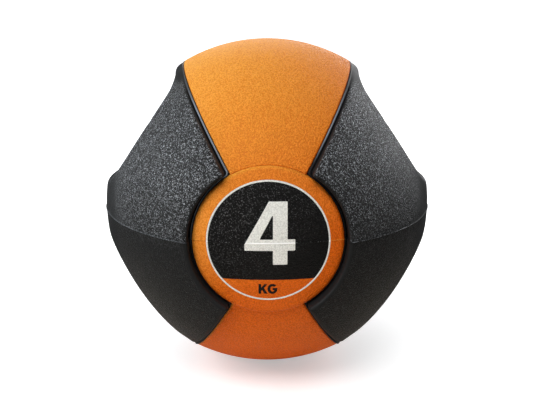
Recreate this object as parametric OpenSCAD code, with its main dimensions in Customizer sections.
// Twin-grip rubber medicine ball.
// Millimetres, +Z up. The origin is the centre of the ball. The front dial faces -Y,
// the two hand grips are at -X (left) and +X (right), and the mould seam is the plane z = 0.

/* [Ball] */
// Radius of the round orange ball
ball_r = 115; // [105:1:125]
// Half angle of the crown panel, measured about the front-to-back axis
crown_angle = 30.1; // [28:0.1:32]
// Half angle of the base panel
base_angle = 27.9; // [26:0.1:30]
// Thickness of the coloured rubber skin
skin_t = 7; // [5:0.5:8]

/* [Flanks and grips] */
// Radius of the outer face of a flank
flank_r = 137.3; // [134:0.1:139]
// How far the flank face's centre lies past the ball's centre, across the ball
flank_dx = 23; // [22:0.1:24]
// How far the flank face's centre lies past the seam plane, which makes the crease at the seam
flank_dz = 13.6; // [12:0.1:15]
// Distance from the centre to the middle of the side wall behind a grip
side_wall_x = 62.7; // [61:0.1:65]
// Radius of the side wall, which is slightly bowed from front to back
side_wall_r = 385; // [300:5:600]
// Radius of the round ends of a hand opening, seen from the side
opening_r = 36.4; // [34:0.1:38]
// Half the distance between the two round ends of a hand opening
opening_dy = 16.9; // [14:0.1:18]
// Height of the middle of a hand opening above the seam
opening_z = 56.2; // [54:0.1:58]
// Radius of the inner face of a grip bar, about the same upright axis as the flank
grip_inner_r = 111.6; // [109:0.1:113]
// Half width of the finger slot from front to back
slot_half_y = 50; // [46:0.5:52]
// Thickness of the rubber lining behind a grip
lining_t = 8; // [6:0.5:9]
// Width of the groove between the orange rubber and a flank
groove_w = 3.3; // [2:0.1:4]
// Depth of that groove below the ball's surface
groove_d = 1.6; // [1:0.1:2.5]

/* [Medallion] */
// Outer radius of the raised bezel
bezel_r = 45.5; // [44:0.1:47]
// Height of the bezel above the ball
bezel_h = 2.4; // [1:0.1:3]
// Height of the dial above the ball
dial_h = 2.2; // [0.5:0.1:2.8]
// Outer radius of the dial with its ring
dial_r = 36.9; // [36:0.1:38]
// Width of the pale ring
ring_w = 1.0; // [0.6:0.1:1.4]
// Depth of the inlaid ring, figure and letters
inlay_t = 1.6; // [1:0.1:2.5]
// Height of the chord between the black field and the orange field, below the seam
chord_z = -23.0; // [-25:0.1:-20]
// Height of the figure
figure_h = 37.8; // [34:0.2:42]
// Height of the two letters
letter_h = 5.7; // [5:0.1:6.5]

/* [Core] */
// Wall thickness of the inner carcass
carcass_t = 13; // [9:0.5:18]
// Wall thickness of the air bladder
bladder_t = 2; // [1.5:0.5:3]
// Height of the band that ties the two carcass halves
band_h = 26; // [20:1:30]
// Thickness of that band
band_t = 2; // [1.5:0.5:2.5]

/* [Valve] */
// Angle of the valve below the seam plane, on the rear side
valve_angle = 45; // [42:1:50]
// Radius of the valve body
valve_r = 4.5; // [4:0.1:5]
// Radius of the needle hole
needle_r = 1.25; // [1.1:0.05:1.4]
// Depth of the needle hole
needle_l = 16; // [12:1:18]

/* [Hidden] */
$fn = 128;

gap = 0.05;                          // clearance left between neighbouring pieces
big = 400;                           // larger than the whole ball
cutter_start = 20;                   // where cutters along Y start, from the ball's centre
cutter_l = 140;                      // length that carries a cutter out through the skin
cut_over = 1;                        // how far a recess cut runs past the dial

core_r = ball_r - skin_t;            // outside radius of the carcass
core_x = side_wall_x - lining_t;     // half width of the carcass between its flat sides
inner_r = core_r - carcass_t;        // inside radius of the carcass
inner_x = core_x - carcass_t;        // half width of the hollow inside the carcass
dial_in_r = dial_r - ring_w;         // inside radius of the pale ring
dial_out = ball_r + dial_h;          // radius of the dial's face from the ball's centre

orange = "darkorange";
black = [0.13, 0.13, 0.14];
white = [0.92, 0.91, 0.87];
grey = [0.35, 0.35, 0.37];

// ---------- shared shapes ----------
module upper_half() translate([-big / 2, -big / 2, gap / 2]) cube([big, big, big]);
module lower_half() translate([-big / 2, -big / 2, -big - gap / 2]) cube([big, big, big]);
module upper_right_quarter() translate([0, -big / 2, gap / 2]) cube([big, big, big]);

// A wedge along Y that opens upwards from the ball's centre, each side moved out by grow.
module wedge(angle, grow) {
    tip_z = -grow / sin(angle);
    half_w = big * tan(angle);
    rotate([90, 0, 0]) translate([0, 0, -big / 2]) linear_extrude(big)
        polygon([[0, tip_z], [half_w, big + tip_z], [-half_w, big + tip_z]]);
}

// A rod out through the rear of the ball, and a pair through rear and front.
module rear_rod(r) rotate([-90, 0, 0]) translate([0, 0, cutter_start]) cylinder(r = r, h = cutter_l);
module rod_pair(r) for (side = [0, 1]) mirror([0, side, 0]) rear_rod(r);

// Swaps front and rear.
module half_turn() rotate([0, 0, 180]) children();

// Turns +Z to the rear and down, onto the valve's axis.
module on_valve_axis() rotate([-90 - valve_angle, 0, 0]) children();
module valve_bore() on_valve_axis() cylinder(r = valve_r + gap, h = cutter_l);

// A ball with two flat sides at -half_w and +half_w.
module flat_ball(r, half_w)
    intersection() {
        sphere(r = r);
        cube([2 * half_w, big, big], center = true);
    }
module flat_shell(r, half_w, wall)
    difference() {
        flat_ball(r, half_w);
        flat_ball(r - wall, half_w - wall);
    }

// ---------- orange panels ----------
module panel(angle)
    difference() {
        intersection() {
            sphere(r = ball_r);
            wedge(angle, -gap);
            upper_half();
        }
        sphere(r = core_r + gap);
        rod_pair(bezel_r + gap);
    }
module crown_panel() color(orange) panel(crown_angle);
module base_panel() color(orange)
    difference() {
        mirror([0, 0, 1]) panel(base_angle);
        valve_bore();
    }

// ---------- bezels, built facing the rear ----------
bezel_face_in = dial_r + 0.5;        // radii between which the face follows the ball
bezel_face_out = bezel_r - 2.5;
face_steps = 5;
inner_edge_drop = 0.3;               // fall of the inner edge below the face
shoulder_w = 0.8;                    // distance of the outer shoulder from the rim
shoulder_h = 2.1;                    // heights of shoulder and rim above the ball
rim_h = 1.3;
foot_in_h = 1 - skin_t;              // heights of the foot's two edges, relative to
foot_out_h = 3 - skin_t;             // the ball's surface

// Distance from the plane y = 0 to the ball's surface, at radius r about the Y axis.
function ball_y(r) = sqrt(ball_r * ball_r - r * r);
// A point of the section, at radius r and height h above the ball.
function over_ball(r, h) = [r, ball_y(r) + h];

module bezel_ring()
    difference() {
        rotate([-90, 0, 0]) rotate_extrude()
            polygon(concat(
                [[dial_r + gap, ball_y(dial_r) + foot_in_h],
                 [dial_r + gap, ball_y(dial_r) + bezel_h - inner_edge_drop]],
                [for (i = [0 : face_steps])
                    over_ball(bezel_face_in + i * (bezel_face_out - bezel_face_in) / face_steps,
                              bezel_h)],
                [over_ball(bezel_r - shoulder_w, shoulder_h),
                 over_ball(bezel_r, rim_h),
                 over_ball(bezel_r, foot_out_h)]));
        sphere(r = core_r + gap);
    }

module rear_bezel_upper() color(orange)
    intersection() {
        bezel_ring();
        upper_half();
    }
module rear_bezel_lower() color(orange)
    intersection() {
        bezel_ring();
        lower_half();
    }
module front_bezel_upper() color(orange)
    intersection() {
        half_turn() bezel_ring();
        upper_half();
    }
module front_bezel_lower() color(orange)
    intersection() {
        half_turn() bezel_ring();
        lower_half();
    }

// ---------- figure and letters, standing so that they cut the front of the ball ----------
// Outlines are in units of the character height, with the origin at the lower left corner.
figure_left = -0.372;                // left end of the figure, in figure heights
figure_z = 5.8;                      // middle of the figure
figure_fit = 0.002;                  // clearance round the figure, in figure heights
letters_x = 0.4;                     // middle of the pair of letters
letters_z = -28.7;

k_outline = [[0, 0], [0.22, 0], [0.22, 0.30], [0.34, 0.43], [0.60, 0], [0.88, 0],
             [0.50, 0.58], [0.86, 1], [0.58, 1], [0.22, 0.58], [0.22, 1], [0, 1]];

g_mid = [1.44, 0.5];
g_outer = [0.43, 0.51];              // half width and half height of the G's two ovals
g_inner = [0.22, 0.32];
letters_w = g_mid[0] + g_outer[0];   // from the left of the K to the right of the G
g_crossbar = [[letters_w, 0.56], [1.45, 0.56], [1.45, 0.39], [1.66, 0.39]];
function g_point(radii, angle) = [g_mid[0] + radii[0] * cos(angle),
                                  g_mid[1] + radii[1] * sin(angle)];
// Over the top and round to the crossbar, then back along the inner oval.
g_outline = concat([for (i = [0 : 24]) g_point(g_outer, 40 + i * 12.5)],
                   g_crossbar,
                   [for (i = [0 : 20]) g_point(g_inner, 320 - i * 13.5)]);

// Scales an outline to height h, with its lower left corner at x, z.
module standing(h, x, z)
    translate([x, -cutter_start, z]) rotate([90, 0, 0])
        linear_extrude(cutter_l) scale(h) children();

// The numeral four, with its edges moved out by grow.
module figure_bar(grow = 0) {
    x = figure_left * figure_h;
    z = figure_z - figure_h / 2;
    stem_left = 0.442 - grow;
    stem_right = 0.668 + grow;
    arm_end = 0.788 + grow;
    arm_low = 0.231 - grow;
    arm_high = 0.411 + grow;
    top = 1 + grow;
    difference() {
        standing(figure_h, x, z)
            polygon([[0.378 - grow, top], [stem_right, top], [stem_right, arm_high],
                     [arm_end, arm_high], [arm_end, arm_low], [stem_right, arm_low],
                     [stem_right, -grow], [stem_left, -grow], [stem_left, arm_low],
                     [-grow, arm_low], [-grow, 0.33 + grow]]);
        // The three-cornered window.
        standing(figure_h, x, z)
            polygon([[stem_left, 0.805 - 2 * grow], [stem_left, arm_high],
                     [0.233 + 2 * grow, arm_high]]);
    }
}

// The letters K and G.
module letters_bar() {
    x = letters_x - letters_w / 2 * letter_h;
    z = letters_z - letter_h / 2;
    standing(letter_h, x, z) polygon(k_outline);
    standing(letter_h, x, z) polygon(g_outline);
}

// ---------- dials: the front one is built, the rear one is the same after a half turn ----------
inlay_raise = 0.2;                   // how far the inlays stand above the dial's face

// A round patch at the rear, between two radii from the ball's centre.
module skin_layer(inner, outer, r)
    difference() {
        intersection() {
            sphere(r = outer);
            rear_rod(r);
        }
        sphere(r = inner);
    }
module inlay_layer(r) skin_layer(dial_out - inlay_t, dial_out + inlay_raise, r);
module recess_layer(r) skin_layer(dial_out - inlay_t - gap, dial_out + cut_over, r);

module dial_disc() half_turn() skin_layer(core_r + gap, dial_out, dial_r);
module ring_channel()
    half_turn() difference() {
        recess_layer(dial_r + cut_over);
        rear_rod(dial_in_r - gap);
    }
// Everything above the height z.
module above(z) translate([-big / 2, -big / 2, z]) cube([big, big, big]);

module front_dial() color(black)
    difference() {
        intersection() {
            dial_disc();
            above(chord_z);
        }
        ring_channel();
        intersection() {
            figure_bar(figure_fit);
            half_turn() recess_layer(dial_r);
        }
    }
module front_weight_field() color(orange)
    difference() {
        dial_disc();
        above(chord_z - gap);
        ring_channel();
        intersection() {
            letters_bar();
            half_turn() recess_layer(dial_r);
        }
    }
module front_ring() color(white)
    half_turn() difference() {
        inlay_layer(dial_r);
        rear_rod(dial_in_r);
    }
module front_figure() color(white)
    intersection() {
        figure_bar();
        half_turn() inlay_layer(dial_in_r);
    }
module front_letters() color(black)
    intersection() {
        letters_bar();
        half_turn() inlay_layer(dial_in_r);
    }
module rear_dial() half_turn() front_dial();
module rear_weight_field() half_turn() front_weight_field();
module rear_ring() half_turn() front_ring();
module rear_figure() half_turn() front_figure();
module rear_letters() half_turn() front_letters();

// ---------- black flanks ----------
bezel_groove_w = groove_w + 1;       // width of the groove round the bezel
opening_x = 50;                      // where the opening's cutters start, inside the side wall
opening_l = 105;                     // their length across the ball
slot_l = 75;                         // length of the finger slot's cutter
slot_under = 5;                      // how far the finger slot's cutter runs below the seam
wall_z = -20;                        // foot and height of the side wall's cylinder
wall_h = 150;

// The hand opening above the seam on the +X side: a round-ended slot seen from the side, and
// the finger slot behind the bar. Both stop at the bowed side wall.
module hand_opening() {
    slot_h = opening_z + slot_under;
    difference() {
        union() {
            for (y = [-opening_dy, opening_dy])
                translate([opening_x, y, opening_z]) rotate([0, 90, 0])
                    cylinder(r = opening_r, h = opening_l);
            translate([opening_x, -opening_dy, opening_z - opening_r])
                cube([opening_l, 2 * opening_dy, 2 * opening_r]);
            intersection() {
                translate([-flank_dx, 0, -slot_under]) cylinder(r = grip_inner_r, h = slot_h);
                translate([opening_x, -slot_half_y, -slot_under])
                    cube([slot_l, 2 * slot_half_y, slot_h]);
            }
        }
        translate([side_wall_x - side_wall_r, 0, wall_z])
            cylinder(r = side_wall_r, h = wall_h);
    }
}

// The flank on the right side, above the seam.
module flank(angle)
    difference() {
        union() {
            // The raised body, set back from the orange rubber by the groove.
            difference() {
                intersection() {
                    translate([-flank_dx, 0, -flank_dz]) sphere(r = flank_r);
                    upper_right_quarter();
                }
                wedge(angle, groove_w);
                rod_pair(bezel_r + bezel_groove_w);
            }
            // The layer that forms the floor of the groove.
            difference() {
                intersection() {
                    sphere(r = ball_r - groove_d);
                    upper_right_quarter();
                }
                wedge(angle, gap);
                rod_pair(bezel_r + 2 * gap);
            }
        }
        flat_ball(core_r + gap, core_x + gap);
        hand_opening();
    }
module right_flank_upper() color(black) flank(crown_angle);
module right_flank_lower() color(black) mirror([0, 0, 1]) flank(base_angle);
module left_flank_upper() color(black) mirror([1, 0, 0]) flank(crown_angle);
module left_flank_lower() color(black) mirror([1, 0, 0]) mirror([0, 0, 1]) flank(base_angle);

// ---------- core ----------
module carcass()
    intersection() {
        flat_shell(core_r, core_x, carcass_t);
        upper_half();
    }
module carcass_upper() color(grey) carcass();
module carcass_lower() color(grey)
    difference() {
        mirror([0, 0, 1]) carcass();
        valve_bore();
    }
// A band bonded inside the wall, across the joint of the two halves.
module seam_band() color("dimgray")
    intersection() {
        flat_shell(inner_r - gap, inner_x - gap, band_t);
        cube([big, big, band_h], center = true);
    }
// The bladder that holds the air, clear of the band.
bladder_gap = 3 * gap;
module bladder() color("darkslategray")
    difference() {
        flat_shell(inner_r - band_t - bladder_gap, inner_x - band_t - bladder_gap,
                   bladder_t - bladder_gap);
        valve_bore();
    }

// ---------- valve ----------
valve_out = ball_r + 0.2;            // how far out the valve's face lies
valve_in = inner_r - 9;              // where the stem meets its foot
foot_r = 9;
foot_h = 3;
plug_l = 8;                          // length of the plug's chamber
plug_r = 2.6;
needle_over = 5;                     // how far the needle hole's cut runs past the face
needle_end = valve_out - needle_l;   // inner end of the needle hole
plug_start = needle_end - plug_l;    // inner end of the plug's chamber

// A stem that runs through skin, carcass and bladder, with a foot inside the bladder.
module valve_body() color("dimgray")
    difference() {
        on_valve_axis() union() {
            translate([0, 0, valve_in]) cylinder(r = valve_r, h = valve_out - valve_in);
            translate([0, 0, valve_in - foot_h]) cylinder(r = foot_r, h = foot_h);
        }
        on_valve_axis() translate([0, 0, needle_end])
            cylinder(r = needle_r, h = needle_l + needle_over);
        on_valve_axis() translate([0, 0, plug_start]) cylinder(r = plug_r + gap, h = plug_l);
    }
// The soft plug that closes behind the needle.
module valve_plug() color("silver")
    on_valve_axis() translate([0, 0, plug_start + gap])
        cylinder(r = plug_r, h = plug_l - 2 * gap);

crown_panel();
base_panel();
front_bezel_upper();
front_bezel_lower();
rear_bezel_upper();
rear_bezel_lower();
front_dial();
rear_dial();
front_weight_field();
rear_weight_field();
front_ring();
rear_ring();
front_figure();
rear_figure();
front_letters();
rear_letters();
left_flank_upper();
left_flank_lower();
right_flank_upper();
right_flank_lower();
carcass_upper();
carcass_lower();
seam_band();
bladder();
valve_body();
valve_plug();
